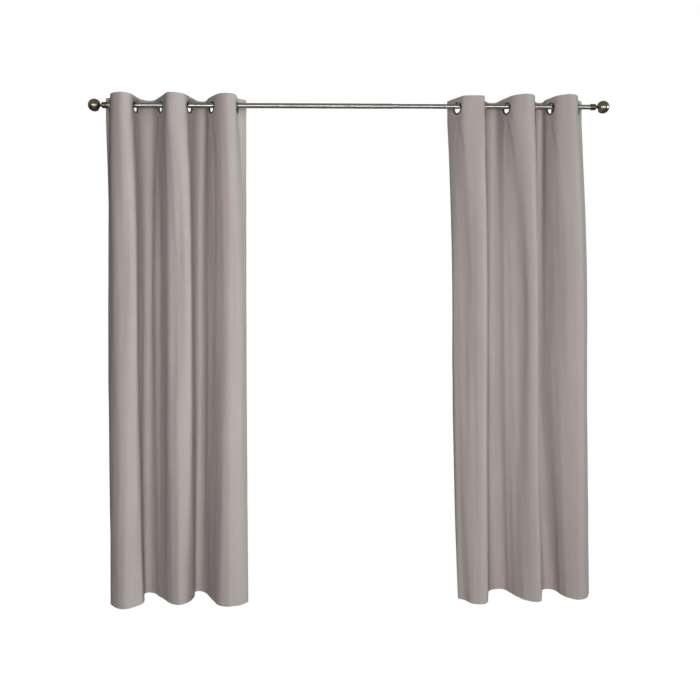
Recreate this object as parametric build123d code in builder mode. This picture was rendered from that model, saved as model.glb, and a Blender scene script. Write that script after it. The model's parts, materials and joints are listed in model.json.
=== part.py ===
from build123d import *
import os
from math import cos, hypot, radians, sin

# Pair of grommet-top curtain panels on a telescoping rod with ball finials.
# Frame: the wall is the plane Y = 0 and the room is on the -Y side, +Z is up, and the
# origin is the centre of the four wall fixing holes. All sizes are in millimetres.

# ---- driving dimensions: rod ----
ROD_DEPTH = 120.0  # wall to rod axis
ROD_HEIGHT = 4.0  # rod axis above the fixing centre
ROD_Y = -ROD_DEPTH
TUBE_LENGTH = 1219.0  # each tube of a 48 to 84 inch rod
OUTER_TUBE_R = 11.1
OUTER_TUBE_WALL = 1.05
INNER_TUBE_R = 10.0
INNER_TUBE_WALL = 1.0
OUTER_TUBE_OPEN_END = 208.0  # X where the thick tube stops and the thin one shows
LEFT_COLLAR_FACE = -993.5
RIGHT_COLLAR_FACE = 1053.5

# ---- driving dimensions: finials ----
BALL_R = 26.5
BALL_CENTRE = 54.0  # from the collar's tube-side face
COLLAR_R = 12.9
BEAD_R = 13.5
BEAD_WIDTH = 4.0
BEAD_CHAMFER = 0.8
SOCKET_DEPTH = 17.5
SOCKET_END_GAP = 0.5
SOCKET_CLEARANCE = 0.06
LIP_AT = 20.0  # the collar's end lip, from its tube-side face
LIP_SLOPE = 3.0
LIP_R = 13.1
COVE_STEPS = ((1.5, 11.9), (3.0, 8.25))  # distance past the lip and radius
COVE_END = 5.0
NECK_R = 6.75
NECK_LENGTH = 28.35
SPIGOT_R = 3.0
SPIGOT_LENGTH = 8.0
SET_SCREW_R = 2.0
SET_SCREW_AT = 10.0  # from the collar's tube-side face
SET_SCREW_TIP_GAP = 0.3
HEX_KEY_R = 1.15
HEX_KEY_DEPTH = 0.9

# ---- driving dimensions: wall brackets ----
BRACKET_X = 935.5  # each side of the centre
PLATE_WIDTH = 30.0
PLATE_HEIGHT = 72.0
PLATE_THICK = 4.0
PLATE_CORNER = 6.0
PLATE_EDGE = 0.8
FIXING_SPACING = 48.0
FIXING_R = 2.5
FIXING_HEAD_R = 4.4
ARM_R = 6.0
ARM_FLANGE_R = 11.0
ARM_FLANGE_THICK = 4.0
CRADLE_CLEARANCE = 0.3
CRADLE_WALL = 2.4
CRADLE_WIDTH = 20.0
CRADLE_LIP = 5.0  # how far the open sides rise over the rod axis
BOSS_R = 5.5
BOSS_LENGTH = 5.0
THUMB_SCREW_R = 2.5
THUMB_SCREW_CLEARANCE = 0.06
THUMB_HEAD_R = 8.0
THUMB_HEAD_THICK = 6.0
THUMB_HEAD_GAP = 1.2
THUMB_TIP_GAP = 0.1  # the screw's tip stops this far under the cradle's inside
THUMB_NOTCHES = 12
THUMB_NOTCH_R = 1.1

# ---- driving dimensions: grommets ----
GROMMET_R = 26.0
GROMMET_BORE_R = 20.0
GROMMET_FLANGE = 2.2
GROMMET_BACK = 1.6
FLANGE_ROUND = 1.0
BACK_ROUND = 0.9
BARREL_WALL = 0.9
GROMMET_BELOW_TOP = 46.5

# ---- driving dimensions: curtain panels ----
PANEL_LENGTH = 2134.0
HEADER = 100.0
CLOTH = 1.5
RING_FLAT = 28.0  # the cloth lies flat this far each side of a grommet
FOLD_SPLIT = 0.62  # where a fold's crest meets its flank, as a share of the curve
FOLD_GAP = 0.016  # half the gap between crest and flank, as a share of the curve
FLANK_STEPS = (0.2, 0.42, FOLD_SPLIT - FOLD_GAP)  # shares of the curve with a vertex
CREST_STEPS = (FOLD_SPLIT + FOLD_GAP, 0.75, 0.88)
FLAT_PULL = 0.3  # how far the curve heads straight on from the flat by a grommet
CREST_PULL = 0.35  # how far it runs along the rod beside a crest
FALL_SPANS = 4  # the fall is folded in this many spans from header to hem
GROMMET_COUNT = 6
LEFT_HANG = 8.0  # rod axis above the grommet centres
RIGHT_HANG = 8.2

# Plan of each panel from its outer edge to its leading edge. X is along the wall and the
# second number is the distance in front of the rod axis. A grommet also has its lean: the
# angle of the cloth from square to the rod there.
LEFT_TOP = {
    "edges": ((-1012, -38), (-416, -56)),
    "grommets": (
        (-981, 0, 17),
        (-877, 0, 9),
        (-768, 0, 34),
        (-650, 0, 16),
        (-554, 0, 36),
        (-449, 0, 0),
    ),
    "crests": ((-920, 64), (-833, -71), (-716, 65), (-609, -80), (-485, 56)),
}
LEFT_HEM = {
    "edges": ((-980, -34), (-416, -48)),
    "grommets": (
        (-977, -4, 6),
        (-846, -18, -4),
        (-750, 0, 38),
        (-640, -8, 6),
        (-546, -4, 32),
        (-409, -6, 0),
    ),
    "crests": ((-900, 70), (-832, -80), (-686, 38), (-628, -104), (-466, 58)),
}
RIGHT_TOP = {
    "edges": ((1036, -58), (452, -62)),
    "grommets": (
        (1000, 0, 19),
        (884, 0, 23),
        (815, 0, 13),
        (697, 0, 24),
        (601, 0, 9),
        (487, 0, 31),
    ),
    "crests": ((956, 60), (858, -76), (768, 63), (654, -84), (562, 36)),
}
RIGHT_HEM = {
    "edges": ((1064, -54), (490, -26)),
    "grommets": (
        (1028, -6, 28),
        (938, -42, 14),
        (852, -40, 14),
        (748, -22, 34),
        (622, -22, 15),
        (510, 4, 34),
    ),
    "crests": ((986, 28), (898, -104), (812, 34), (680, -98), (570, 52)),
}

os.makedirs("parts", exist_ok=True)


def finish(part, label):
    """Label a finished piece and write its file."""
    part.label = label
    export_step(part, f"parts/{label}.step")


def along_x(x, outward):
    """A plane square to the rod at this X, facing the way outward says."""
    return Plane(origin=(x, ROD_Y, ROD_HEIGHT), x_dir=(0, 1, 0), z_dir=(outward, 0, 0))


# ---- rod tubes ----
outer_left_end = OUTER_TUBE_OPEN_END - TUBE_LENGTH
with BuildPart() as outer_tube:
    with BuildSketch(along_x(outer_left_end, 1)):
        Circle(OUTER_TUBE_R)
        Circle(OUTER_TUBE_R - OUTER_TUBE_WALL, mode=Mode.SUBTRACT)
    extrude(amount=TUBE_LENGTH)
finish(outer_tube.part, "outer_tube")

inner_left_end = RIGHT_COLLAR_FACE + SOCKET_DEPTH - TUBE_LENGTH
with BuildPart() as inner_tube:
    with BuildSketch(along_x(inner_left_end, 1)):
        Circle(INNER_TUBE_R)
        Circle(INNER_TUBE_R - INNER_TUBE_WALL, mode=Mode.SUBTRACT)
    extrude(amount=TUBE_LENGTH)
finish(inner_tube.part, "inner_tube")

# ---- finials: a turned collar over the tube's end, a ball on a spigot, a set screw ----
for side, outward, face_x, tube_r in (
    ("left", -1, LEFT_COLLAR_FACE, OUTER_TUBE_R),
    ("right", 1, RIGHT_COLLAR_FACE, INNER_TUBE_R),
):
    # the profiles are drawn with their first axis along the rod, pointing outward
    profile_plane = Plane(
        origin=(face_x, ROD_Y, ROD_HEIGHT), x_dir=(outward, 0, 0), z_dir=(0, -outward, 0)
    )
    rod_axis = Axis((face_x, ROD_Y, ROD_HEIGHT), (1, 0, 0))
    socket_r = tube_r + SOCKET_CLEARANCE
    screw_plane = Plane(
        origin=(face_x + outward * SET_SCREW_AT, ROD_Y, ROD_HEIGHT),
        x_dir=(1, 0, 0),
        z_dir=(0, 0, -1),
    )

    with BuildPart() as collar:
        with BuildSketch(profile_plane):
            with BuildLine():
                Polyline(
                    (0, socket_r),
                    (0, BEAD_R - BEAD_CHAMFER),
                    (BEAD_CHAMFER, BEAD_R),
                    (BEAD_WIDTH - BEAD_CHAMFER, BEAD_R),
                    (BEAD_WIDTH, COLLAR_R),
                    (LIP_AT - LIP_SLOPE, COLLAR_R),
                    (LIP_AT, LIP_R),
                    *((LIP_AT + step, radius) for step, radius in COVE_STEPS),
                    (LIP_AT + COVE_END, NECK_R),
                    (NECK_LENGTH, NECK_R),
                    (NECK_LENGTH, SPIGOT_R),
                    (NECK_LENGTH - SPIGOT_LENGTH, SPIGOT_R),
                    (NECK_LENGTH - SPIGOT_LENGTH, 0),
                    (SOCKET_DEPTH + SOCKET_END_GAP, 0),
                    (SOCKET_DEPTH + SOCKET_END_GAP, socket_r),
                    close=True,
                )
            make_face()
        revolve(axis=rod_axis)
        with BuildSketch(screw_plane):
            Circle(SET_SCREW_R)
        extrude(amount=2 * BEAD_R, mode=Mode.SUBTRACT)
    finish(collar.part, f"{side}_finial_collar")

    with BuildPart() as ball:
        with BuildSketch(profile_plane):
            with BuildLine():
                reach = (BALL_R**2 - NECK_R**2) ** 0.5
                neck_side = (BALL_CENTRE - reach, NECK_R)
                far_side = (BALL_CENTRE + BALL_R, 0)
                ThreePointArc(neck_side, (BALL_CENTRE, BALL_R), far_side)
                Polyline(
                    far_side,
                    (NECK_LENGTH - SPIGOT_LENGTH, 0),
                    (NECK_LENGTH - SPIGOT_LENGTH, SPIGOT_R),
                    (NECK_LENGTH, SPIGOT_R),
                    (NECK_LENGTH, NECK_R),
                    neck_side,
                )
            make_face()
        revolve(axis=rod_axis)
    finish(ball.part, f"{side}_finial_ball")

    with BuildPart() as set_screw:
        tip = tube_r + SET_SCREW_TIP_GAP
        with BuildSketch(screw_plane.offset(tip)):
            Circle(SET_SCREW_R)
        extrude(amount=COLLAR_R - tip)
        with BuildSketch(screw_plane.offset(COLLAR_R - HEX_KEY_DEPTH)):
            RegularPolygon(HEX_KEY_R, 6)
        extrude(amount=2 * HEX_KEY_DEPTH, mode=Mode.SUBTRACT)
    finish(set_screw.part, f"{side}_finial_set_screw")

# ---- wall brackets: a screwed plate, an arm with an open-topped cradle, a thumb screw ----
for side, bracket_x, tube_r in (
    ("left", -BRACKET_X, OUTER_TUBE_R),
    ("right", BRACKET_X, INNER_TUBE_R),
):
    wall_plane = Plane(origin=(bracket_x, 0, 0), x_dir=(1, 0, 0), z_dir=(0, -1, 0))
    cradle_r = tube_r + CRADLE_CLEARANCE
    cradle_outer = cradle_r + CRADLE_WALL

    with BuildPart() as wall_plate:
        with BuildSketch(wall_plane):
            RectangleRounded(PLATE_WIDTH, PLATE_HEIGHT, PLATE_CORNER)
        extrude(amount=PLATE_THICK)
        chamfer(wall_plate.faces().sort_by(Axis.Y)[0].edges(), PLATE_EDGE)
        with Locations(wall_plane.offset(PLATE_THICK)):
            with GridLocations(0, FIXING_SPACING, 1, 2):
                CounterSinkHole(FIXING_R, FIXING_HEAD_R)
    finish(wall_plate.part, f"{side}_wall_plate")

    with BuildPart() as arm:
        with BuildSketch(wall_plane.offset(PLATE_THICK)):
            Circle(ARM_FLANGE_R)
        extrude(amount=ARM_FLANGE_THICK)
        with BuildSketch(wall_plane.offset(PLATE_THICK)):
            Circle(ARM_R)
        extrude(amount=ROD_DEPTH - cradle_r - CRADLE_WALL / 2 - PLATE_THICK)
        cradle_plane = Plane(
            origin=(bracket_x - CRADLE_WIDTH / 2, ROD_Y, ROD_HEIGHT),
            x_dir=(0, 1, 0),
            z_dir=(1, 0, 0),
        )
        with BuildSketch(cradle_plane):
            Circle(cradle_outer)
            with Locations((0, CRADLE_LIP / 2)):
                Rectangle(2 * cradle_outer, CRADLE_LIP)
            with Locations((0, CRADLE_LIP + cradle_outer)):
                Rectangle(3 * cradle_outer, 2 * cradle_outer, mode=Mode.SUBTRACT)
        extrude(amount=CRADLE_WIDTH)
        with BuildSketch(Plane((bracket_x, ROD_Y, ROD_HEIGHT - cradle_outer - BOSS_LENGTH))):
            Circle(BOSS_R)
        extrude(amount=BOSS_LENGTH + CRADLE_WALL)
        with BuildSketch(cradle_plane.offset(-ARM_FLANGE_R)):
            Circle(cradle_r)
            with Locations((0, cradle_outer)):
                Rectangle(2 * cradle_r, 2 * cradle_outer)
        extrude(amount=CRADLE_WIDTH + 2 * ARM_FLANGE_R, mode=Mode.SUBTRACT)
        with BuildSketch(Plane((bracket_x, ROD_Y, ROD_HEIGHT - 2 * cradle_outer))):
            Circle(THUMB_SCREW_R + THUMB_SCREW_CLEARANCE)
        extrude(amount=2 * cradle_outer, mode=Mode.SUBTRACT)
    finish(arm.part, f"{side}_bracket_arm")

    with BuildPart() as thumb_screw:
        head_top = ROD_HEIGHT - cradle_outer - BOSS_LENGTH - THUMB_HEAD_GAP
        with BuildSketch(Plane((bracket_x, ROD_Y, head_top - THUMB_HEAD_THICK))):
            Circle(THUMB_HEAD_R)
            with PolarLocations(THUMB_HEAD_R, THUMB_NOTCHES):
                Circle(THUMB_NOTCH_R, mode=Mode.SUBTRACT)
        extrude(amount=THUMB_HEAD_THICK)
        with BuildSketch(Plane((bracket_x, ROD_Y, head_top))):
            Circle(THUMB_SCREW_R)
        extrude(amount=ROD_HEIGHT - cradle_r - head_top - THUMB_TIP_GAP)
    finish(thumb_screw.part, f"{side}_thumb_screw")


# ---- curtain panels ----
def bezier(a, b, c, d, t):
    """The point at t of the cubic curve with these four plan points."""
    u = 1 - t
    return tuple(
        u**3 * p + 3 * u * u * t * q + 3 * u * t * t * r + t**3 * s
        for p, q, r, s in zip(a, b, c, d)
    )


def fold_plan(plan, inward):
    """Plan polylines of a panel's six flanks and five crests, outer edge first."""
    straights = []
    for number, (x, front, lean) in enumerate(plan["grommets"]):
        rise = 1 if number % 2 == 0 else -1
        way = (inward * sin(radians(lean)), rise * cos(radians(lean)))
        start = (x - RING_FLAT * way[0], front - RING_FLAT * way[1])
        end = (x + RING_FLAT * way[0], front + RING_FLAT * way[1])
        straights.append((start, end, way))

    def half_fold(point, way, crest, t):
        """From the flat by a grommet to the crest beside it."""
        reach = hypot(crest[0] - point[0], crest[1] - point[1])
        pull = FLAT_PULL * reach
        near = (point[0] + pull * way[0], point[1] + pull * way[1])
        spread = CREST_PULL * (reach if crest[0] > point[0] else -reach)
        return bezier(point, near, (crest[0] - spread, crest[1]), crest, t)

    flanks, crests = [], []
    for number, (start, end, way) in enumerate(straights):
        back = (-way[0], -way[1])
        line = [start, end]
        if number == 0:
            edge = plan["edges"][0]
            line = [edge, ((edge[0] + 2 * start[0]) / 3, (edge[1] + 2 * start[1]) / 3)] + line
        else:
            crest = plan["crests"][number - 1]
            line = [half_fold(start, back, crest, t) for t in reversed(FLANK_STEPS)] + line
        if number == GROMMET_COUNT - 1:
            edge = plan["edges"][1]
            line = line + [((edge[0] + 2 * end[0]) / 3, (edge[1] + 2 * end[1]) / 3), edge]
        else:
            crest = plan["crests"][number]
            line = line + [half_fold(end, way, crest, t) for t in FLANK_STEPS]
            after, _, after_way = straights[number + 1]
            after_back = (-after_way[0], -after_way[1])
            crests.append(
                [half_fold(end, way, crest, t) for t in CREST_STEPS]
                + [crest]
                + [half_fold(after, after_back, crest, t) for t in reversed(CREST_STEPS)]
            )
        flanks.append(line)
    return flanks, crests


def outline(line):
    """The closed outline of a plan polyline given the cloth's thickness, in wall X and Y."""
    sides = ([], [])
    for number, (x, front) in enumerate(line):
        before = line[max(number - 1, 0)]
        after = line[min(number + 1, len(line) - 1)]
        run = hypot(after[0] - before[0], after[1] - before[1])
        across = (-(after[1] - before[1]) / run, (after[0] - before[0]) / run)
        for points, half in zip(sides, (CLOTH / 2, -CLOTH / 2)):
            points.append((x + half * across[0], ROD_Y - front - half * across[1]))
    return sides[0] + sides[1][::-1]


def fall_line(top_line, hem_line, share):
    """The plan polyline at this share of the way down from the header to the hem."""
    return [
        tuple(p + share * (q - p) for p, q in zip(top_point, hem_point))
        for top_point, hem_point in zip(top_line, hem_line)
    ]


def flat_face(*corners):
    """A flat face with these corners."""
    return Face(Wire.make_polygon(corners, close=True))


def cloth(top_line, hem_line, top_z):
    """One strip of a panel: an upright header band, then a fall that follows the folds.

    Where the cloth twists, its two sides are folded along the same diagonals, so that it
    keeps its thickness.
    """
    header_z = top_z - HEADER
    levels = [(top_z, outline(top_line))]
    for span in range(FALL_SPANS + 1):
        share = span / FALL_SPANS
        line = fall_line(top_line, hem_line, share)
        levels.append((header_z - share * (PANEL_LENGTH - HEADER), outline(line)))
    rings = [[(x, y, z) for x, y in ring] for z, ring in levels]
    faces = [flat_face(*rings[0]), flat_face(*rings[-1])]
    count = len(rings[0])
    for upper, lower in zip(rings, rings[1:]):
        for number in range(count):
            after = (number + 1) % count
            if upper is rings[0]:
                faces.append(flat_face(upper[number], upper[after], lower[after], lower[number]))
            elif number < count // 2:
                faces.append(flat_face(upper[number], upper[after], lower[after]))
                faces.append(flat_face(upper[number], lower[after], lower[number]))
            else:
                faces.append(flat_face(upper[number], upper[after], lower[number]))
                faces.append(flat_face(upper[after], lower[after], lower[number]))
    return Solid(Shell(faces))


for side, inward, top_plan, hem_plan, hang in (
    ("left", 1, LEFT_TOP, LEFT_HEM, LEFT_HANG),
    ("right", -1, RIGHT_TOP, RIGHT_HEM, RIGHT_HANG),
):
    grommet_z = ROD_HEIGHT - hang
    top_z = grommet_z + GROMMET_BELOW_TOP
    top_flanks, top_crests = fold_plan(top_plan, inward)
    hem_flanks, hem_crests = fold_plan(hem_plan, inward)

    for number in range(GROMMET_COUNT):
        x, front, lean = top_plan["grommets"][number]
        rise = 1 if number % 2 == 0 else -1
        # the cloth's room side: outward from the folds' fronts
        face = Vector(-rise * inward * cos(radians(lean)), -sin(radians(lean)), 0)
        ring_plane = Plane(origin=(x, ROD_Y - front, grommet_z), x_dir=(0, 0, 1), z_dir=face)

        strip = cloth(top_flanks[number], hem_flanks[number], top_z)
        with BuildPart() as flank:
            add(strip)
            with BuildSketch(ring_plane.offset(-CLOTH)):
                Circle(GROMMET_BORE_R + BARREL_WALL)
            extrude(amount=2 * CLOTH, mode=Mode.SUBTRACT)
        finish(flank.part, f"{side}_cloth_flank_{number + 1}")

        ring_axis = Axis(ring_plane.origin, face)
        with BuildPart() as front_ring:
            with BuildSketch(ring_plane.offset(CLOTH / 2)):
                Circle(GROMMET_R)
                Circle(GROMMET_BORE_R, mode=Mode.SUBTRACT)
            extrude(amount=GROMMET_FLANGE)
            rims = front_ring.faces().sort_by(ring_axis)[-1].edges()
            fillet(rims, FLANGE_ROUND)
            with BuildSketch(ring_plane.offset(-CLOTH / 2 - GROMMET_BACK)):
                Circle(GROMMET_BORE_R + BARREL_WALL)
                Circle(GROMMET_BORE_R, mode=Mode.SUBTRACT)
            extrude(amount=CLOTH + GROMMET_BACK)
        finish(front_ring.part, f"{side}_grommet_front_{number + 1}")

        with BuildPart() as back_ring:
            with BuildSketch(ring_plane.offset(-CLOTH / 2 - GROMMET_BACK)):
                Circle(GROMMET_R)
                Circle(GROMMET_BORE_R + BARREL_WALL, mode=Mode.SUBTRACT)
            extrude(amount=GROMMET_BACK)
            rims = back_ring.faces().sort_by(ring_axis)[0].edges()
            fillet(rims.sort_by(SortBy.LENGTH)[-1], BACK_ROUND)
        finish(back_ring.part, f"{side}_grommet_back_{number + 1}")

    for number in range(GROMMET_COUNT - 1):
        crest = cloth(top_crests[number], hem_crests[number], top_z)
        finish(crest, f"{side}_cloth_crest_{number + 1}")
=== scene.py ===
import json
from math import cos, hypot, pi, radians, sin

import bpy
import numpy as np
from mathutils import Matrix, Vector


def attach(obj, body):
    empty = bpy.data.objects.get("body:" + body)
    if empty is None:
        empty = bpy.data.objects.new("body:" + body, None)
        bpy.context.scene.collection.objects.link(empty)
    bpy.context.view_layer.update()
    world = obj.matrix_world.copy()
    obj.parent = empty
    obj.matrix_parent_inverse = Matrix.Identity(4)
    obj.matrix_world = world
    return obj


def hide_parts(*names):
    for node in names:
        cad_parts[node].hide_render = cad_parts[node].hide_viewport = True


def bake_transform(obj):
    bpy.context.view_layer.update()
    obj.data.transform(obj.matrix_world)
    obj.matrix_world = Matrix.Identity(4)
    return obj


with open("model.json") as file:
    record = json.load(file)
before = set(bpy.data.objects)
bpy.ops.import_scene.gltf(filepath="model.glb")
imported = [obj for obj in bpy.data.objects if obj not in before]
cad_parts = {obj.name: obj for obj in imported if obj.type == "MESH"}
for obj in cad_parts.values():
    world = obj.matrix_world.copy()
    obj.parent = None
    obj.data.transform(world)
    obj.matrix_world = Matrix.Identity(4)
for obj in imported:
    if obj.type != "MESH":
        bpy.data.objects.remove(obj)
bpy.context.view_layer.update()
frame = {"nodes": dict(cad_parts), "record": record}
scene = bpy.context.scene

# ---------------------------------------------------------------- where things are
ROD_Y = -0.120  # the rod runs along X
ROD_Z = 0.004
PANEL_LENGTH = 2.134
PANEL_WIDTH = 1.067
HEADER = 0.100  # the cloth stands upright over this band
GROMMET_DROP = 0.0465  # top edge to grommet centre
FLOOR_Z = -2.30

# ---------------------------------------------------------------- cloth, in metres
RINGS = 6  # grommets in a panel, with a crest between each two
STRIPS = 2 * RINGS
RING_FLAT = 0.028  # the cloth is flat this far each side of a grommet's centre
RING_STEPS = 4  # steps of the grid over that distance
FLAT_ROWS = slice(3, 14)  # rows of the grid from above the grommets to below them
HEADER_ROWS = 14  # rows of the grid above the header's stitching
FOLD_COLUMNS = 12  # steps of the grid from a flat to the crest beside it
CURVE_POINTS = 60
TOP_PULLS = (0.30, 0.35)  # how straight a fold runs on from a ring and beside its crest
MIDDLE_SPAN = (0.95, 1.10)  # the folds keep their middle shape between these drops
HEM_EASE = 0.6  # how late the folds turn from their middle shape to their hem shape
BEND_SOFTNESS = 0.0055
PLAN_STEPS = 1067  # steps of a plan line while its bends are rounded off
CLOTH = 0.0015  # thickness
BAND_EXTRA = 0.0010  # turned-in cloth behind the header, hem and side hems
RIM = 0.0010  # an edge is rounded off over this width
RIM_SHARE = 0.35  # what is left of the thickness at an edge
EDGE_BAND = 0.0070  # first full column or row after an edge
HEADER_STITCH = 0.095  # drops of the stitch lines, and their distance from a side edge
HEM_STITCH = PANEL_LENGTH - 0.070
SIDE_STITCH = 0.0150
GROOVE = 0.0015  # half the width of the groove that a stitch line pulls in
GROOVE_DEPTH = 0.0004
HOLE_R = 0.0225  # hole in the cloth under a grommet
HOLE_RING = 0.014  # half side of the square of the grid that becomes the hole
EDGE_COLUMN = 0.008  # steps of the grid from a side hem to the nearest grommet
ROW_STEP = 0.0125  # and from the header's stitching to the hem's
HEM_ROWS = 6
LEAST_BLEND = 0.02  # least room between a strip's two seams for the blend that blend_points works out
ROUND_OFF = 1e-6

STITCH = 0.0030
STITCH_GAP = 0.0016
STITCH_ENDS = (0.004, 0.003)  # a side hem's stitches stop this far from its two ends
STITCH_WIDE = 0.00045
STITCH_SIDES = 6
STITCH_PLUMP = 0.8
STITCH_ARCH = ((0.0, -0.2), (0.22, 0.75), (0.78, 0.75), (1.0, -0.2))  # share of length, height

# Small folds: flutes made by noise, and creases. Each row of a crease table has its shift
# along the cloth, lean, height and reach, and each size the length over which it rises from
# its start, and its width.
SEEDS = {"left": 11, "right": 47}
FLUTES_FULL = 0.25  # the flutes reach their full height this far under the header
RING_CREASE_START = GROMMET_DROP + 0.030
RING_CREASE_SIZE = (0.03, 0.007)
RING_CREASES = ((-0.010, -0.20, 0.0034, 0.20), (0.010, 0.17, 0.0026, 0.17))
ROD_CREASE_START = 0.072
ROD_CREASE_SIZE = (0.02, 0.0060)
ROD_CREASES = (
    (-0.026, 0.24, 0.0026, 0.085),
    (0.008, -0.30, 0.0030, 0.085),
    (0.030, -0.16, 0.0022, 0.085),
)
PUCKER_START = PANEL_LENGTH - 0.012
PUCKER_SIZE = (0.02, 0.0055)
HEM_PUCKERS = (
    (-0.014, -0.16, 0.0045, 0.11),
    (0.002, -0.05, 0.0038, 0.11),
    (0.016, 0.10, 0.0045, 0.11),
    (0.030, 0.22, 0.0036, 0.11),
)
BACK_CRESTS = (1, 3)  # the crests behind the rod
RING_EASE = 0.02  # small folds reach their full height this far outside the rings' flats

SIM_COLUMNS = 72  # the cloth simulation's own grid
SIM_ROWS = 72
SIM_FRAMES = 20
SIM_EVEN = 3  # rows over which its result is evened out
SIM_RING = 0.034  # the cloth is held this far each side of a ring
SIM_HEADER_HOLD = 0.75
SIM_HOLD = 0.3
SIM_EASE = 0.008  # the cloth is cut this much fuller than its drawn folds
SIM_CAP = 0.010
SIM_FREE = 0.06  # its result counts in full from this far outside the rings' flats

# Plan of each panel from its outer edge to its leading edge, in mm along the wall and in
# front of the rod. At the top each grommet has its lean, in degrees from square to the rod.
# Halfway down and at the hem there is a row of points for each fold, up to its crest.
# "inward" is the way along X from the outer edge, and "hang" how far the grommets' centres
# hang below the rod's.
PANELS = {
    "left": {
        "inward": 1,
        "hang": 0.0080,
        "top": {
            "edges": ((-1012, -38), (-416, -56)),
            "grommets": (
                (-981, 0, 17), (-877, 0, 9), (-768, 0, 34),
                (-650, 0, 16), (-554, 0, 36), (-449, 0, 0),
            ),
            "crests": ((-920, 64), (-833, -71), (-716, 65), (-609, -80), (-485, 56)),
        },
        "middle": (
            ((-1004, -62), (-997, -26), (-974, 14), (-950, 44), (-930, 58), (-900, 60)),
            ((-880, 56), (-862, 46), (-856, 20), (-857, -44), (-846, -62), (-832, -65)),
            (
                (-820, -60), (-797, -30), (-775, -20), (-753, 8),
                (-735, 44), (-722, 58), (-682, 64),
            ),
            ((-643, 60), (-632, 50), (-630, -44), (-621, -62), (-612, -64)),
            (
                (-598, -56), (-578, -28), (-556, -8), (-520, 30),
                (-498, 50), (-484, 57), (-468, 59),
            ),
            ((-438, 52), (-422, 30), (-411, 0), (-412, -42)),
        ),
        "hem": (
            ((-984, -52), (-980, -20), (-971, 22), (-950, 46), (-926, 65), (-900, 69)),
            (
                (-885, 65), (-861, 46), (-841, 18), (-844, -24),
                (-860, -74), (-854, -92), (-838, -97),
            ),
            ((-814, -84), (-790, -56), (-766, -28), (-731, 10), (-712, 26), (-686, 34)),
            (
                (-672, 27), (-658, 14), (-642, -13), (-638, -42),
                (-646, -84), (-644, -102), (-630, -109),
            ),
            ((-612, -102), (-588, -76), (-557, -26), (-530, 22), (-510, 46), (-476, 54)),
            ((-437, 44), (-414, 24), (-401, 4), (-416, -44)),
        ),
    },
    "right": {
        "inward": -1,
        "hang": 0.0082,
        "top": {
            "edges": ((1036, -58), (452, -62)),
            "grommets": (
                (1000, 0, 19), (884, 0, 23), (815, 0, 13),
                (697, 0, 24), (601, 0, 9), (487, 0, 31),
            ),
            "crests": ((956, 60), (858, -76), (768, 63), (654, -84), (562, 36)),
        },
        "middle": (
            ((1058, -62), (1046, -22), (1030, 16), (1014, 40), (990, 50)),
            (
                (972, 48), (944, 32), (918, 6), (894, -26),
                (873, -62), (863, -80), (850, -88),
            ),
            ((838, -80), (832, -60), (822, 28), (814, 54), (800, 64)),
            (
                (784, 60), (772, 48), (758, 16), (745, 0),
                (716, -12), (692, -26), (680, -50), (654, -66),
            ),
            ((634, -64), (620, -48), (605, 30), (602, 52), (594, 62), (584, 63)),
            ((566, 56), (471, -28), (475, -52)),
        ),
        "hem": (
            ((1066, -57), (1052, -26), (1030, -1), (1000, 10)),
            ((978, 1), (957, -18), (942, -49), (936, -81), (926, -104), (906, -110)),
            (
                (886, -106), (868, -84), (858, -50), (846, -8),
                (843, 11), (832, 23), (818, 27),
            ),
            (
                (798, 21), (768, 0), (749, -26), (731, -63),
                (716, -96), (702, -108), (680, -110),
            ),
            (
                (657, -108), (640, -92), (630, -60), (618, -10),
                (614, 22), (598, 43), (574, 48),
            ),
            ((547, 42), (536, 32), (514, -1), (490, -16)),
        ),
    },
}

# ---------------------------------------------------------------- camera
# It looks level, from the middle of the drop, as in the photograph.
camera_data = bpy.data.cameras.new("camera")
camera = bpy.data.objects.new("camera", camera_data)
scene.collection.objects.link(camera)
camera.location = (-0.0179, -3.1396, -0.805)
camera.rotation_euler = (radians(90), 0, radians(-0.9))
camera_data.lens = 36.65
camera_data.sensor_width = 36.0
camera_data.shift_y = -0.0757
camera_data.clip_end = 60.0
scene.camera = camera
scene.view_settings.view_transform = "Standard"


# ---------------------------------------------------------------- materials
def node_material(name):
    """A material with its node tree, its Principled shader and a maker of linked nodes."""
    material = bpy.data.materials.new(name)
    material.use_nodes = True
    tree = material.node_tree
    shader = tree.nodes["Principled BSDF"]

    def add(kind, inputs=(), **settings):
        node = tree.nodes.new(kind)
        for key, value in settings.items():
            setattr(node, key, value)
        for key, value in dict(inputs).items():
            if isinstance(value, bpy.types.NodeSocket):
                tree.links.new(value, node.inputs[key])
            else:
                node.inputs[key].default_value = value
        return node

    return material, tree, shader, add


def ramp(add, factor, stops):
    """A colour ramp over a factor, with (place, colour) stops."""
    node = add("ShaderNodeValToRGB", {"Fac": factor})
    elements = node.color_ramp.elements
    while len(elements) < len(stops):
        elements.new(0.5)  # its place is set below
    for element, (place, colour) in zip(elements, stops):
        element.position = place
        element.color = (*colour, 1.0)
    return node.outputs["Color"]


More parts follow.
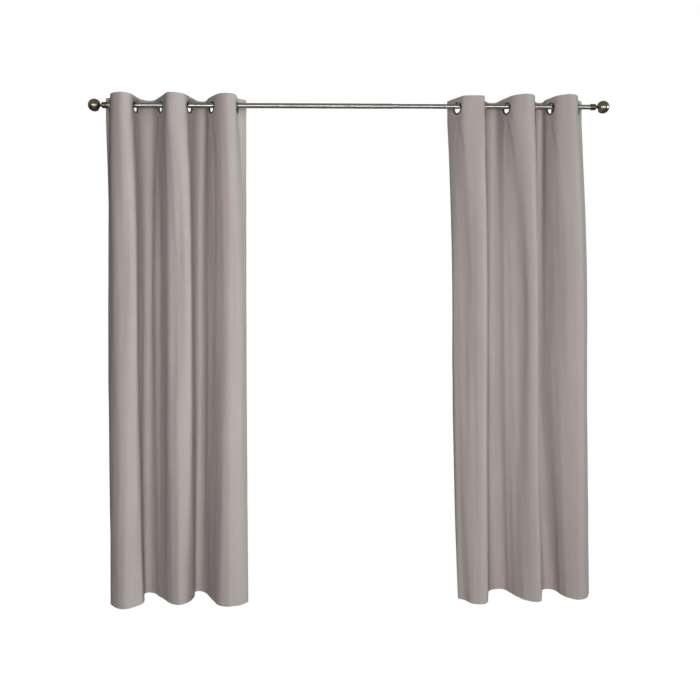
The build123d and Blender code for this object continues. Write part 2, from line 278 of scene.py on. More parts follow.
def cloth_material():
    """Taupe polyester with a fine plain weave, slubs and a soft sheen."""
    material, tree, shader, add = node_material("taupe_weave")
    uv = add("ShaderNodeUVMap", uv_map="UVMap").outputs["UV"]
    thread = 0.00085  # metres from one thread to the next
    warp = add("ShaderNodeMapping", {"Vector": uv, "Scale": (1 / thread, 1 / thread, 1)})
    split = add("ShaderNodeSeparateXYZ", {"Vector": warp.outputs["Vector"]})

    def wave(value):
        turned = add("ShaderNodeMath", {0: value, 1: pi}, operation="MULTIPLY")
        return add("ShaderNodeMath", {0: turned.outputs[0]}, operation="SINE").outputs[0]

    def noise(scale, detail, roughness=0.5):
        """Noise stretched by a number of lumps per metre across and along the cloth."""
        place = add("ShaderNodeMapping", {"Vector": uv, "Scale": (*scale, 1)})
        inputs = {"Vector": place.outputs["Vector"], "Scale": 1.0}
        inputs.update({"Detail": detail, "Roughness": roughness})
        return add("ShaderNodeTexNoise", inputs).outputs["Fac"]

    across = wave(split.outputs["X"])
    along = wave(split.outputs["Y"])
    checks = add("ShaderNodeMath", {0: across, 1: along}, operation="MULTIPLY").outputs[0]
    slubs = noise((26, 900), 3.0, 0.6)
    streaks = noise((700, 9), 2.0)
    clouds = noise((5, 2), 2.0)

    threads = add("ShaderNodeMath", {0: slubs, 1: streaks}, operation="ADD").outputs[0]
    threads = add("ShaderNodeMath", {0: threads, 1: clouds}, operation="ADD").outputs[0]
    tone = add("ShaderNodeMath", {0: threads, 1: 1 / 3}, operation="MULTIPLY").outputs[0]
    weave_tone = add(
        "ShaderNodeMath", {0: checks, 1: 0.05, 2: tone}, operation="MULTIPLY_ADD"
    ).outputs[0]
    taupes = (
        (0.30, (0.275, 0.238, 0.233)),
        (0.50, (0.322, 0.281, 0.275)),
        (0.70, (0.365, 0.320, 0.313)),
    )
    colour = ramp(add, weave_tone, taupes)
    tree.links.new(colour, shader.inputs["Base Color"])
    height = add(
        "ShaderNodeMath", {0: checks, 1: 0.6, 2: slubs}, operation="MULTIPLY_ADD"
    ).outputs[0]
    bump = add(
        "ShaderNodeBump", {"Height": height, "Strength": 0.35, "Distance": 0.00035}
    ).outputs["Normal"]
    tree.links.new(bump, shader.inputs["Normal"])
    rough = add(
        "ShaderNodeMapRange",
        {"Value": tone, "From Min": 0.35, "From Max": 0.65, "To Min": 0.78, "To Max": 0.88},
    ).outputs["Result"]
    tree.links.new(rough, shader.inputs["Roughness"])
    shader.inputs["Specular IOR Level"].default_value = 0.25
    shader.inputs["Sheen Weight"].default_value = 0.06
    shader.inputs["Sheen Roughness"].default_value = 0.45
    shader.inputs["Sheen Tint"].default_value = (0.93, 0.90, 0.89, 1.0)
    return material


def thread_material():
    """Twisted sewing thread a shade darker than the cloth."""
    material, tree, shader, add = node_material("sewing_thread")
    where = add("ShaderNodeTexCoord").outputs["Object"]
    ply = add(
        "ShaderNodeTexWave",
        {"Vector": where, "Scale": 900.0, "Distortion": 2.0},
        bands_direction="DIAGONAL",
    ).outputs["Fac"]
    colour = ramp(add, ply, ((0.2, (0.23, 0.195, 0.19)), (0.8, (0.33, 0.285, 0.28))))
    tree.links.new(colour, shader.inputs["Base Color"])
    bump = add("ShaderNodeBump", {"Height": ply, "Strength": 0.3, "Distance": 0.0001})
    tree.links.new(bump.outputs["Normal"], shader.inputs["Normal"])
    shader.inputs["Roughness"].default_value = 0.6
    return material


def metal_material(name, dark, light, rough, grain, stretch, relief=0.04, uneven=0.045):
    """Metal between two tones, with stretched grain, cloudy wear and uneven roughness."""
    material, tree, shader, add = node_material(name)
    where = add("ShaderNodeTexCoord").outputs["Object"]
    brushed = add("ShaderNodeMapping", {"Vector": where, "Scale": stretch}).outputs["Vector"]
    lines = add(
        "ShaderNodeTexNoise",
        {"Vector": brushed, "Scale": grain, "Detail": 4.0, "Roughness": 0.65},
    ).outputs["Fac"]
    wear = add(
        "ShaderNodeTexNoise", {"Vector": where, "Scale": 25.0, "Detail": 3.0}
    ).outputs["Fac"]
    both = add("ShaderNodeMath", {0: lines, 1: wear}, operation="ADD").outputs[0]
    both = add("ShaderNodeMath", {0: both, 1: 0.5}, operation="MULTIPLY").outputs[0]
    colour = ramp(add, both, ((0.32, dark), (0.68, light)))
    tree.links.new(colour, shader.inputs["Base Color"])
    spread = add(
        "ShaderNodeMapRange",
        {
            "Value": both, "From Min": 0.3, "From Max": 0.7,
            "To Min": rough - uneven, "To Max": rough + uneven,
        },
    ).outputs["Result"]
    tree.links.new(spread, shader.inputs["Roughness"])
    bump = add("ShaderNodeBump", {"Height": lines, "Strength": relief, "Distance": 0.0001})
    tree.links.new(bump.outputs["Normal"], shader.inputs["Normal"])
    shader.inputs["Metallic"].default_value = 1.0
    return material


CLOTH_MATERIAL = cloth_material()
THREAD_MATERIAL = thread_material()
METALS = {
    "rod_metal": metal_material(
        "brushed_pewter", (0.355, 0.343, 0.316), (0.395, 0.382, 0.352), 0.28, 420.0, (0.004, 1, 1),
        relief=0.006, uneven=0.008,
    ),
    "finial_metal": metal_material(
        "aged_pewter", (0.25, 0.21, 0.15), (0.38, 0.325, 0.24), 0.30, 24.0, (1, 1, 1),
        relief=0.012,
    ),
    "collar_metal": metal_material(
        "blackened_pewter", (0.09, 0.078, 0.058), (0.20, 0.175, 0.135), 0.34, 60.0, (1, 1, 1),
        relief=0.012,
    ),
    "grommet_metal": metal_material(
        "dark_pewter", (0.075, 0.068, 0.060), (0.15, 0.137, 0.12), 0.30, 160.0, (1, 1, 1)
    ),
    "bracket_metal": metal_material(
        "pewter_paint", (0.085, 0.080, 0.073), (0.14, 0.13, 0.12), 0.42, 300.0, (1, 1, 1)
    ),
}
for subpart in frame["record"]["subparts"]:
    slot = "collar_metal" if subpart["node"].endswith("_collar") else subpart["material_slot"]
    mesh = frame["nodes"][subpart["node"]].data
    mesh.materials.clear()
    mesh.materials.append(METALS.get(slot, CLOTH_MATERIAL))


# ---------------------------------------------------------------- the cloth's shape
def smooth(share):
    """A share from 0 to 1, eased at both ends."""
    return share * share * (3 - 2 * share)


def bezier(a, b, c, d, t):
    """Points at each t of the cubic curve with these four plan points."""
    u = 1 - t
    ends = np.outer(u**3, a) + np.outer(3 * u * u * t, b)
    return ends + np.outer(3 * u * t * t, c) + np.outer(t**3, d)


def lengths(points):
    """How far along its polyline each plan point is."""
    return np.r_[0, np.cumsum(np.hypot(*np.diff(points, axis=0).T))]


def spaced(points, count):
    """The polyline resampled to count + 1 points at equal steps."""
    steps = lengths(points)
    places = np.linspace(0, steps[-1], count + 1)
    return np.stack([np.interp(places, steps, points[:, k]) for k in (0, 1)], axis=1)


def edge_steps(length):
    """Distances from a side edge inward, closer together at the edge and its stitching."""
    hem = [0, RIM, EDGE_BAND, SIDE_STITCH - GROOVE, SIDE_STITCH, SIDE_STITCH + GROOVE]
    rest = max(1, round((length - hem[-1]) / EDGE_COLUMN))
    return np.array(hem + list(hem[-1] + (length - hem[-1]) * np.arange(1, rest + 1) / rest))


def plan_sections(plan, inward):
    """A plan polyline for each strip of the header, from the outer edge on."""
    grommets = np.array([g[:2] for g in plan["grommets"]], float) / 1000
    crests = np.array(plan["crests"], float) / 1000
    edges = np.array(plan["edges"], float) / 1000
    ways = []
    for number, (_, _, lean) in enumerate(plan["grommets"]):
        rise = 1 if number % 2 == 0 else -1
        ways.append(np.array((inward * sin(radians(lean)), rise * cos(radians(lean)))))
    flat = np.linspace(0, RING_FLAT, RING_STEPS + 1)[:, None]
    t = np.linspace(0, 1, CURVE_POINTS)
    sections = []
    for number in range(RINGS):
        way, centre = ways[number], grommets[number]
        for direction, index in ((-1, number - 1), (1, number)):
            out = centre + direction * flat * way
            begin = out[-1]
            if 0 <= index < RINGS - 1:
                crest = crests[index]
                reach = hypot(*(crest - begin))
                near = begin + TOP_PULLS[0] * reach * direction * way
                spread = TOP_PULLS[1] * reach * (1 if crest[0] > begin[0] else -1)
                curve = bezier(begin, near, crest - (spread, 0), crest, t)
                fold = spaced(curve, FOLD_COLUMNS)
            else:
                edge = edges[0] if number == 0 else edges[1]
                span = edge - begin
                toward = span / hypot(*span)
                length = hypot(*span)
                fold = begin + np.outer(length - edge_steps(length)[::-1], toward)
            line = np.vstack([out, fold[1:]])
            sections.append(line if direction > 0 else line[::-1])
    return sections


def soften(line, spacing):
    """A line of evenly spaced points with its bends rounded off."""
    reach = int(4 * BEND_SOFTNESS / spacing)
    weights = np.exp(-0.5 * (np.arange(-reach, reach + 1) * spacing / BEND_SOFTNESS) ** 2)
    weights /= weights.sum()
    before = 2 * line[0] - line[reach:0:-1]
    after = 2 * line[-1] - line[-2:-reach - 2:-1]
    padded = np.vstack([before, line, after])
    return np.stack([np.convolve(padded[:, k], weights, "valid") for k in (0, 1)], axis=1)


def along(line, own, places):
    """A line's points at places measured like its own, with its bends rounded off."""
    fine = np.linspace(0, PANEL_WIDTH, PLAN_STEPS + 1)
    dense = np.stack([np.interp(fine, own, line[:, k]) for k in (0, 1)], axis=1)
    dense = soften(dense, PANEL_WIDTH / PLAN_STEPS)
    return np.stack([np.interp(places, fine, dense[:, k]) for k in (0, 1)], axis=1)


def folded_plan(folds, crest_places, places):
    """The plan at one drop, where each row of folds ends on a crest of the cloth."""
    marks = np.r_[0, crest_places, PANEL_WIDTH]
    line, own = [], []
    last = folds[0][:1]
    for fold, begin, end in zip(folds, marks, marks[1:]):
        points = np.array(tuple(last) + tuple(fold), float) / 1000
        steps = lengths(points)
        line.append(points[1:])
        own.append(begin + (end - begin) * steps[1:] / steps[-1])
        last = fold[-1:]
    return along(np.vstack(line), np.hstack(own), places)


def smooth_noise(seed, u, v, u_size, v_size):
    """Repeatable noise from -1 to 1 over flat coordinates, with lumps of these sizes."""
    size = 64
    table = np.random.RandomState(seed).uniform(-1, 1, (size, size))
    x, y = u / u_size, v / v_size
    i, j = np.floor(x).astype(int), np.floor(y).astype(int)
    fx, fy = x - i, y - j
    fx = fx * fx * fx * (fx * (6 * fx - 15) + 10)
    fy = fy * fy * fy * (fy * (6 * fy - 15) + 10)
    left, right = i % size, (i + 1) % size
    top, low = j % size, (j + 1) % size
    a, b = table[left, top], table[right, top]
    c, d = table[left, low], table[right, low]
    return (a * (1 - fx) + b * fx) * (1 - fy) + (c * (1 - fx) + d * fx) * fy


def row_drops():
    """Distances below the top edge of the rows of the cloth's grid."""
    drops = [0, RIM, EDGE_BAND, 0.0125, 0.0185, 0.0255, 0.0325, 0.0395, GROMMET_DROP]
    drops += [0.0535, 0.0605, 0.0675, 0.0745, 0.0840]
    drops += [HEADER_STITCH - GROOVE, HEADER_STITCH, HEADER_STITCH + GROOVE]
    fall_start, fall_end = HEADER_STITCH + GROOVE, HEM_STITCH - GROOVE
    count = round((fall_end - fall_start) / ROW_STEP)
    drops += list(fall_start + (fall_end - fall_start) * np.arange(1, count + 1) / count)
    drops += [HEM_STITCH, HEM_STITCH + GROOVE]
    last = PANEL_LENGTH - RIM
    drops += list(np.linspace(HEM_STITCH + GROOVE, last, HEM_ROWS + 1)[1:]) + [PANEL_LENGTH]
    return np.array(drops)


def along_normal(grid, inward):
    """Unit normals of a grid of points, towards the room where the cloth faces it."""
    across = np.gradient(grid, axis=0)
    down = np.gradient(grid, axis=1)
    normals = -inward * np.cross(across, down)
    return normals / np.linalg.norm(normals, axis=2, keepdims=True)


def panel_grid(panel):
    """The cloth's middle surface as a grid, its flat places, seam columns, drops and widths."""
    sections = plan_sections(panel["top"], panel["inward"])
    top = np.vstack([s if n == 0 else s[1:] for n, s in enumerate(sections)])
    seams = np.cumsum([0] + [len(s) - 1 for s in sections])

    # flat width: the flats and edges keep their length, the folds take up the rest
    steps = np.hypot(*np.diff(top, axis=0).T)
    fixed = np.zeros(len(steps), bool)
    for middle in seams[1::2]:
        fixed[middle - RING_STEPS:middle + RING_STEPS] = True
        steps[middle - RING_STEPS:middle + RING_STEPS] = RING_FLAT / RING_STEPS
    fixed[:seams[1]] = True
    fixed[seams[STRIPS - 1]:] = True
    steps[~fixed] *= (PANEL_WIDTH - steps[fixed].sum()) / steps[~fixed].sum()
    u = np.r_[0, np.cumsum(steps)]

    drops = row_drops()
    top_z = ROD_Z - panel["hang"] + GROMMET_DROP
    crest_places = [u[seams[2 * number + 2]] for number in range(RINGS - 1)]
    middle = folded_plan(panel["middle"], crest_places, u)
    hem = folded_plan(panel["hem"], crest_places, u)
    begin = np.clip((drops - HEADER) / (MIDDLE_SPAN[0] - HEADER), 0, 1)
    begin = (begin * (2 - begin))[None, :, None]
    end = np.clip((drops - MIDDLE_SPAN[1]) / (PANEL_LENGTH - MIDDLE_SPAN[1]), 0, 1)
    end = (end * end * HEM_EASE + end * (1 - HEM_EASE))[None, :, None]
    plan = top[:, None, :] * (1 - begin) + middle[:, None, :] * begin
    plan = plan * (1 - end) + hem[:, None, :] * end
    grid = np.empty((len(u), len(drops), 3))
    grid[..., 0] = plan[..., 0]
    grid[..., 1] = ROD_Y - plan[..., 1]
    grid[..., 2] = top_z - drops[None, :]
    flat = np.stack(np.broadcast_arrays(u[:, None], drops[None, :]), axis=2).copy()
    return grid, flat, seams, drops, u


def crease(u, away, centre, shape, ease, width):
    """The height of one crease, which leans as it runs away from where it starts."""
    shift, lean, height, reach = shape
    line = centre + shift + lean * away
    fade = np.clip(away / ease, 0, 1) * np.clip(1 - away / reach, 0, 1)
    return height * fade * np.exp(-(((u - line) / width) ** 2))


def soft_folds(side, flat, seams):
    """Small folds of hung cloth: slow flutes, creases from the grommets, hem puckers."""
    seed = SEEDS[side]
    u, v = flat[..., 0], flat[..., 1]
    below = smooth(np.clip((v - HEADER_STITCH) / FLUTES_FULL, 0, 1))
    # a height times noise with lumps of a width and a length
    lift = 0.0030 * below * smooth_noise(seed, u, v, 0.047, 0.85)
    lift += 0.0011 * below * smooth_noise(seed + 1, u + 0.02 * v, v, 0.021, 0.60)
    lift += 0.0005 * smooth_noise(seed + 2, u, v, 0.030, 0.11)
    ring_places = [flat[middle, 0, 0] for middle in seams[1::2]]
    for centre in ring_places:
        for shape in RING_CREASES:
            lift += crease(u, v - RING_CREASE_START, centre, shape, *RING_CREASE_SIZE)
    for number in BACK_CRESTS:
        centre = flat[seams[2 * number + 2], 0, 0]
        for shape in ROD_CREASES:
            lift += crease(u, v - ROD_CREASE_START, centre, shape, *ROD_CREASE_SIZE)
        for shape in HEM_PUCKERS:
            lift += crease(u, PUCKER_START - v, centre, shape, *PUCKER_SIZE)
    # the cloth is held flat round every ring
    for centre in ring_places:
        away = np.maximum(np.abs(u - centre), np.abs(v - GROMMET_DROP))
        lift *= smooth(np.clip((away - RING_FLAT) / RING_EASE, 0, 1))
    return lift


def regrid(field, u, drops, columns, rows):
    """The field of a grid read at other flat widths and drops."""
    wide = [[np.interp(columns, u, line) for line in field[..., k].T] for k in range(3)]
    both = [[np.interp(rows, drops, line) for line in np.array(part).T] for part in wide]
    return np.array(both).transpose(1, 2, 0)


def hang_cloth(name, grid, u, drops, ring_places):
    """How the grid moves sideways when it is simulated as cloth hanging from its rings."""
    columns = np.linspace(0, PANEL_WIDTH, SIM_COLUMNS + 1)
    rows = np.linspace(0, PANEL_LENGTH, SIM_ROWS + 1)
    coarse = regrid(grid, u, drops, columns, rows)
    count = len(rows)
    faces = []
    for i in range(SIM_COLUMNS):
        for j in range(SIM_ROWS):
            a = i * count + j
            faces.append((a, a + 1, a + count + 1, a + count))
    mesh = bpy.data.meshes.new(name)
    mesh.from_pydata(coarse.reshape(-1, 3).tolist(), [], faces)
    sheet = bpy.data.objects.new(name, mesh)
    scene.collection.objects.link(sheet)
    held = sheet.vertex_groups.new(name="held")
    for i, width in enumerate(columns):
        near_ring = np.abs(ring_places - width).min() < SIM_RING
        for j, drop in enumerate(rows):
            in_header = drop < HEADER
            weight = SIM_HEADER_HOLD if in_header else SIM_HOLD
            if in_header and near_ring:
                weight = 1.0
            held.add([i * count + j], weight, "REPLACE")
    # its cut is a flat rectangle, as wide as the folds are on average, and a little fuller
    steps = np.linalg.norm(np.diff(coarse[..., :2], axis=0), axis=2).mean(axis=1)
    cut = np.zeros_like(coarse)
    cut[..., 0] = np.r_[0, np.cumsum(steps * (1 + SIM_EASE))][:, None]
    cut[..., 2] = -rows[None, :]
    sheet.shape_key_add(name="Basis")
    cut_key = sheet.shape_key_add(name="cut")
    cut_key.data.foreach_set("co", cut.ravel())
    cloth = sheet.modifiers.new("cloth", "CLOTH")
    settings = cloth.settings
    settings.rest_shape_key = cut_key
    settings.quality = 6
    settings.mass = 0.02
    settings.tension_stiffness = 25
    settings.compression_stiffness = 25
    settings.shear_stiffness = 8
    settings.bending_stiffness = 0.3
    settings.air_damping = 2.5
    settings.vertex_group_mass = "held"
    settings.pin_stiffness = 1.0
    cloth.collision_settings.use_collision = False
    cloth.point_cache.frame_start = 1
    cloth.point_cache.frame_end = SIM_FRAMES
    for step in range(1, SIM_FRAMES + 1):
        scene.frame_set(step)
    posed = sheet.evaluated_get(bpy.context.evaluated_depsgraph_get())
    moved = np.empty(len(mesh.vertices) * 3)
    posed.data.vertices.foreach_get("co", moved)
    scene.frame_set(1)
    bpy.data.objects.remove(sheet)
    bpy.data.meshes.remove(mesh)
    shift = moved.reshape(coarse.shape) - coarse
    shift[..., 2] = 0
    # wrinkles of hanging cloth run down it, so what is left across them is evened out
    reach = np.arange(-3 * SIM_EVEN, 3 * SIM_EVEN + 1)
    weights = np.exp(-0.5 * (reach / SIM_EVEN) ** 2)
    padded = np.pad(shift, ((0, 0), (3 * SIM_EVEN, 3 * SIM_EVEN), (0, 0)), mode="edge")
    shift = sum(w * padded[:, k:k + count] for k, w in enumerate(weights / weights.sum()))
    size = np.linalg.norm(shift, axis=2, keepdims=True)
    shift *= SIM_CAP * np.tanh(size / SIM_CAP) / np.maximum(size, 1e-9)
    return regrid(shift, columns, rows, u, drops)


def open_holes(grid, flat, seams):
    """Pull the grid round each grommet into a circle, and say which points are inside."""
    inside = np.zeros(grid.shape[:2], bool)
    centre_row = int(np.argmin(np.abs(flat[0, :, 1] - GROMMET_DROP)))
    reach = range(-RING_STEPS, RING_STEPS + 1)
    for middle in seams[1::2]:
        centre_u = flat[middle, 0, 0]
        toward = grid[middle + RING_STEPS, 0] - grid[middle - RING_STEPS, 0]
        toward /= np.linalg.norm(toward)
        heart = grid[middle, centre_row].copy()
        for column in (middle + step for step in reach):
            for r in (centre_row + step for step in reach):
                x = flat[column, r, 0] - centre_u
                y = flat[column, r, 1] - GROMMET_DROP
                size = max(abs(x), abs(y))
                if size < HOLE_RING - ROUND_OFF:
                    inside[column, r] = True
                    continue
                share = (size - HOLE_RING) / (RING_FLAT - HOLE_RING)
                length = hypot(x, y)
                circle = np.array((x, y)) * HOLE_R / length
                square = np.array((x, y)) * RING_FLAT / size
                place = circle * (1 - share) + square * share
                grid[column, r] = heart + toward * place[0] - np.array((0, 0, 1)) * place[1]
                flat[column, r] = (centre_u + place[0], GROMMET_DROP + place[1])
    return inside


def blend_points(seam_a, seam_b, held):
    """Ends of a blend that is fully a along seam_a and held, and fully b along seam_b."""
    points = np.vstack([seam_a, seam_b])
    matrix = np.c_[points, np.ones(len(points))]
    target = np.r_[np.zeros(len(seam_a)), np.ones(len(seam_b))]
    slope = np.linalg.lstsq(matrix, target, rcond=None)[0][:3]
    low = max((seam_a @ slope).max(), (held @ slope).max())
    high = (seam_b @ slope).min()
    if high - low < LEAST_BLEND:
        raise RuntimeError(f"no clean blend between two seams: {low} {high}")
    unit = slope / (slope @ slope)
    origin = points.mean(axis=0)
    base = origin - unit * (origin @ slope)
    return base + unit * low, base + unit * high


def new_piece(name, vertices, faces, material):
    """A smooth-shaded mesh object."""
    mesh = bpy.data.meshes.new(name)
    mesh.from_pydata(vertices, [], faces)
    mesh.polygons.foreach_set("use_smooth", [True] * len(faces))
    mesh.materials.append(material)
    piece = bpy.data.objects.new(name, mesh)
    scene.collection.objects.link(piece)
    return piece


def make_section(name, columns, rows, flat, front, back, normals, inside, inward):
    """One closed thin strip of a panel as a mesh object."""
    index = {}
    vertices, uvs, out = [], [], []
    for column in columns:
        for r in rows:
            if not inside[column, r]:
                index[column, r] = len(vertices)
                vertices.append(front[column, r])
                uvs.append(flat[column, r])
                out.append(normals[column, r])
    count = len(vertices)
    vertices += [back[c, r] for c, r in index]
    uvs = uvs + uvs
    out = out + [-n for n in out]
    faces, used = [], {}
    for column in columns[:-1]:
        for r in rows[:-1]:
            corners = ((column, r), (column + 1, r), (column + 1, r + 1), (column, r + 1))
            if any(corner not in index for corner in corners):
                continue
            ring = [index[corner] for corner in corners]
            if inward > 0:
                ring = ring[::-1]
            faces.append(ring)
            faces.append([i + count for i in ring[::-1]])
            for a, b in zip(ring, ring[1:] + ring[:1]):
                used[a, b] = True
    # walls join front and back wherever an edge has a face on one side only
    smooth_faces = len(faces)
    faces += [[b, a, a + count, b + count] for a, b in used if (b, a) not in used]
    used_points = sorted({i for face in faces for i in face})
    place = {old: new for new, old in enumerate(used_points)}
    faces = [[place[i] for i in face] for face in faces]
    piece = new_piece(name, [vertices[i] for i in used_points], faces, CLOTH_MATERIAL)
    mesh = piece.data
    layer = mesh.uv_layers.new(name="UVMap")
    loops = np.empty(len(mesh.loops), int)
    mesh.loops.foreach_get("vertex_index", loops)
    kept_uvs = np.array([uvs[i] for i in used_points])
    layer.data.foreach_set("uv", kept_uvs[loops].astype(np.float32).ravel())
    corner_normals = np.array([out[i] for i in used_points])[loops]
    for polygon in mesh.polygons[smooth_faces:]:
        corners = slice(polygon.loop_start, polygon.loop_start + polygon.loop_total)
        corner_normals[corners] = polygon.normal
    mesh.normals_split_custom_set([tuple(n) for n in corner_normals])
    return piece


def bilinear(field, flat_u, drops, u, v):
    """The grid's field at a flat place."""
    i = int(np.clip(np.searchsorted(flat_u, u) - 1, 0, len(flat_u) - 2))
    j = int(np.clip(np.searchsorted(drops, v) - 1, 0, len(drops) - 2))
    a = (u - flat_u[i]) / (flat_u[i + 1] - flat_u[i])
    b = (v - drops[j]) / (drops[j + 1] - drops[j])
    top = field[i, j] * (1 - a) + field[i + 1, j] * a
    low = field[i, j + 1] * (1 - a) + field[i + 1, j + 1] * a
    return top * (1 - b) + low * b


def make_stitches(name, places, field, normals, flat_u, drops, surface_lift):
    """Rows of short raised stitches lying on the cloth, front and back."""
    vertices, faces = [], []
    sides = range(STITCH_SIDES)
    for (u0, v0), (u1, v1) in places:
        ends = [bilinear(field, flat_u, drops, u0, v0), bilinear(field, flat_u, drops, u1, v1)]
        out = bilinear(normals, flat_u, drops, (u0 + u1) / 2, (v0 + v1) / 2)
        out = out / np.linalg.norm(out)
        run = ends[1] - ends[0]
        run = run / np.linalg.norm(run)
        side = np.cross(out, run)
        for facing, height in zip((1, -1), surface_lift):
            base = len(vertices)
            for share, high in STITCH_ARCH:
                rise = height + high * STITCH_WIDE * STITCH_PLUMP
                middle = ends[0] + (ends[1] - ends[0]) * share + out * facing * rise
                for angle in sides:
                    turn = angle * 2 * pi / STITCH_SIDES
                    offset = side * cos(turn) + out * facing * sin(turn)
                    vertices.append(middle + offset * STITCH_WIDE / 2)
            rings = [
                [base + ring * STITCH_SIDES + k for k in sides]
                for ring in range(len(STITCH_ARCH))
            ]
            quads = [
                [a[k], a[(k + 1) % STITCH_SIDES], b[(k + 1) % STITCH_SIDES], b[k]]
                for a, b in zip(rings, rings[1:])
                for k in sides
            ]
            for face in quads + [rings[0][::-1], rings[-1]]:
                faces.append(face if facing > 0 else face[::-1])
    return new_piece(name, vertices, faces, THREAD_MATERIAL)


def stitch_places(u_from, u_to, side_lines):
    """Ends of each stitch between two flat widths, of the header, hem and side hems."""
    places = []
    pitch = STITCH + STITCH_GAP
    first = int(np.ceil(u_from / pitch))
    for number in range(first, int(np.floor((u_to - STITCH) / pitch)) + 1):
        u = number * pitch
        if u < u_from or u + STITCH > u_to:
            continue
        for v in (HEADER_STITCH, HEM_STITCH):
            places.append(((u, v), (u + STITCH, v)))
    for u in side_lines:
        v = STITCH_ENDS[0]
        while v + STITCH < PANEL_LENGTH - STITCH_ENDS[1]:
            places.append(((u, v), (u, v + STITCH)))
            v += pitch
    return places


def on_line(field, *values):
    """Where a field of flat widths or drops has one of these values."""
    return np.any([np.abs(field - value) < ROUND_OFF for value in values], axis=0)


def thick_faces(grid, flat, normals):
    """Front and back of the cloth, rounded at its edges and thicker at its turned-in bands."""
    u, v = flat[..., 0], flat[..., 1]
    band = (v < HEADER_STITCH + ROUND_OFF) | (v > HEM_STITCH - ROUND_OFF)
    band |= (u < SIDE_STITCH + ROUND_OFF) | (u > PANEL_WIDTH - SIDE_STITCH - ROUND_OFF)
    edge = on_line(v, 0, PANEL_LENGTH) | on_line(u, 0, PANEL_WIDTH)
    rim = np.where(edge, RIM_SHARE, 1.0)
    stitched = on_line(v, HEADER_STITCH, HEM_STITCH)
    stitched |= on_line(u, SIDE_STITCH, PANEL_WIDTH - SIDE_STITCH)
    front_half = rim * CLOTH / 2 - np.where(stitched, GROOVE_DEPTH, 0.0)
    back_half = rim * (CLOTH / 2 + np.where(band, BAND_EXTRA, 0.0))
    return grid + normals * front_half[..., None], grid - normals * back_half[..., None]


def build_panel(side, panel):
    """A curtain panel: twelve strips that share their seams, with their stitching."""
    inward = panel["inward"]
    grid, flat, seams, drops, flat_u = panel_grid(panel)
    rings = seams[1::2]
    lift = soft_folds(side, flat, seams)
    grid = grid + along_normal(grid, inward) * lift[..., None]
    ring_places = flat_u[rings]
    shift = hang_cloth(f"{side}_hanging", grid, flat_u, drops, ring_places)
    away = np.maximum(0, np.abs(flat_u[:, None] - ring_places).min(axis=1) - RING_FLAT)
    below = np.maximum(0, drops - HEADER)
    free = np.clip((away[:, None] + below[None, :]) / SIM_FREE, 0, 1)
    grid = grid + shift * smooth(free)[..., None]
    holed_flat = flat.copy()
    inside = open_holes(grid, holed_flat, seams)
    normals = along_normal(grid, inward)
    for middle in rings:
        begin, end = middle - RING_STEPS, middle + RING_STEPS
        across = grid[end, FLAT_ROWS.start] - grid[begin, FLAT_ROWS.start]
        straight = np.cross(across, (0, 0, -1.0)) * -inward
        straight /= np.linalg.norm(straight)
        normals[begin:end + 1, FLAT_ROWS] = straight
    front, back = thick_faces(grid, flat, normals)

    rows = list(range(len(drops)))
    pieces = []
    for number in range(STRIPS):
        columns = list(range(seams[number], seams[number + 1] + 1))
        piece = make_section(
            f"{side}_panel_strip_{number + 1}",
            columns, rows, holed_flat, front, back, normals, inside, inward,
        )
        u_from, u_to = flat_u[columns[0]], flat_u[columns[-1]]
        side_lines = {0: [SIDE_STITCH], STRIPS - 1: [PANEL_WIDTH - SIDE_STITCH]}
        stitches = make_stitches(
            f"{side}_stitching_{number + 1}",
            stitch_places(u_from, u_to, side_lines.get(number, [])),
            grid, normals, flat_u, drops,
            (CLOTH / 2 - GROOVE_DEPTH, CLOTH / 2 + BAND_EXTRA),
        )
        if number in (0, STRIPS - 1):
            body = f"{side}_grommet_{1 if number == 0 else RINGS}"
            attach(piece, body)
            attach(stitches, body)
        else:
            # a strip leaves a grommet for the crest after it, or comes to one from a crest
            leaving = number % 2 == 1
            seam_g = columns[0] if leaving else columns[-1]
            seam_c = columns[-1] if leaving else columns[0]
            flat_end = seam_g + (RING_STEPS if leaving else -RING_STEPS)
            held = grid[flat_end, :HEADER_ROWS]
            start, end = blend_points(grid[seam_g], grid[seam_c], held)
            for strip in (piece, stitches):
                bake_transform(strip)
        pieces.append(piece)
    # strips stand in turn for the CAD flanks and crests that they run along
    for number, piece in enumerate(pieces):
        if number % 2 == 0:
            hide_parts(f"{side}_cloth_flank_{number // 2 + 1}")
        elif number < STRIPS - 1:
            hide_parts(f"{side}_cloth_crest_{(number + 1) // 2}")


for side_name, panel_data in PANELS.items():
    build_panel(side_name, panel_data)

# ---------------------------------------------------------------- light
WARM_WHITE = (1.0, 0.99, 0.98)
COOL_WHITE = (0.97, 0.98, 1.0)
WHITE = (1.0, 1.0, 1.0)


def light(name, kind, place, aim, energy, colour, size=None):
    """A lamp at a place, turned to face a point."""
    data = bpy.data.lights.new(name, kind)
    data.energy = energy
    data.color = colour
    if size:
        data.shape = "RECTANGLE"
        data.size, data.size_y = size
    lamp = bpy.data.objects.new(name, data)
    scene.collection.objects.link(lamp)
    lamp.location = place
    lamp.rotation_euler = (Vector(aim) - Vector(place)).to_track_quat("-Z", "Y").to_euler()
    return lamp


front = light(
    "front", "AREA", place=(0.25, -3.8, -0.90), aim=(0.0, 0.0, -1.0),
    energy=142, colour=(1.0, 0.985, 0.975), size=(1.4, 1.0),
)
upper = light(
    "upper", "AREA", place=(0.2, -3.6, 0.55), aim=(0.0, 0.0, -0.4),
    energy=22, colour=WARM_WHITE, size=(1.6, 0.4),
)
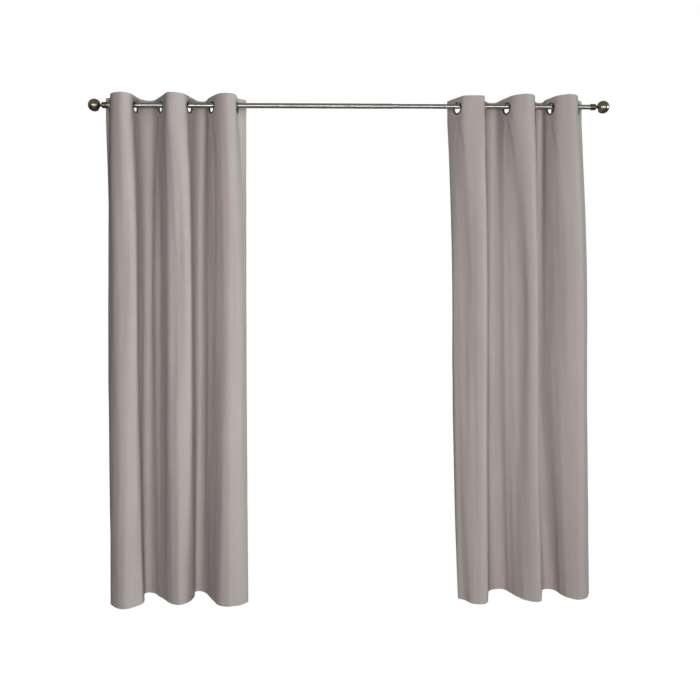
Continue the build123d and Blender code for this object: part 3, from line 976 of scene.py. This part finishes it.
# the metal mirrors one long strip instead of these two, so the rod is bright along its length
front.visible_glossy = False
upper.visible_glossy = False
strip = light(
    "strip", "AREA", place=(0.0, -3.8, -0.75), aim=(0.0, 0.0, -0.2),
    energy=130, colour=(1.0, 0.99, 0.97), size=(6.5, 0.5),
)
strip.visible_diffuse = False
window = light(
    "window", "SUN", place=(5.0, -0.9, 0.1), aim=(0.0, 0.0, 0.0),
    energy=2.3, colour=(0.85, 1.0, 0.955),
)
window.data.angle = radians(12)
light(
    "behind", "AREA", place=(0.0, 4.0, 0.6), aim=(0.0, 0.0, -0.9),
    energy=170, colour=WARM_WHITE, size=(3.0, 2.0),
)

world = bpy.data.worlds.new("studio")
scene.world = world
world.use_nodes = True
sky = world.node_tree
sky.nodes.clear()


def background(colour, strength):
    """The output of one plain background of the world."""
    node = sky.nodes.new("ShaderNodeBackground")
    node.inputs["Color"].default_value = (*colour, 1.0)
    node.inputs["Strength"].default_value = strength
    return node.outputs["Background"]


def chosen(ray_kind, other, own):
    """One of two backgrounds, by whether a ray is of this kind."""
    node = sky.nodes.new("ShaderNodeMixShader")
    rays = sky.nodes.new("ShaderNodeLightPath")
    sky.links.new(rays.outputs[ray_kind], node.inputs["Fac"])
    sky.links.new(other, node.inputs[1])
    sky.links.new(own, node.inputs[2])
    return node.outputs["Shader"]


# a dim studio, brighter where metal mirrors it, and white to the camera
room = chosen("Is Glossy Ray", background(COOL_WHITE, 0.06), background(COOL_WHITE, 0.30))
seen = chosen("Is Camera Ray", room, background(WHITE, 1.0))
output = sky.nodes.new("ShaderNodeOutputWorld")
sky.links.new(seen, output.inputs["Surface"])

# ---------------------------------------------------------------- floor
floor_mesh = bpy.data.meshes.new("floor")
floor_corners = [(x, y, FLOOR_Z) for x, y in ((-40, -30), (40, -30), (40, 50), (-40, 50))]
floor_mesh.from_pydata(floor_corners, [], [(0, 1, 2, 3)])
floor = bpy.data.objects.new("floor", floor_mesh)
scene.collection.objects.link(floor)
floor_material, tree, shader, add = node_material("pale_floor")
# it looks white to the camera, and is darker to the light so that the folds keep their depth
shader.inputs["Base Color"].default_value = (0.20, 0.20, 0.20, 1.0)
shader.inputs["Roughness"].default_value = 0.9
glow = add("ShaderNodeEmission", {"Color": (1.0, 1.0, 1.0, 1.0), "Strength": 1.0})
rays = add("ShaderNodeLightPath")
looks = {1: shader.outputs["BSDF"], 2: glow.outputs["Emission"]}
shown = add("ShaderNodeMixShader", {"Fac": rays.outputs["Is Camera Ray"], **looks})
tree.links.new(shown.outputs["Shader"], tree.nodes["Material Output"].inputs["Surface"])
floor_mesh.materials.append(floor_material)
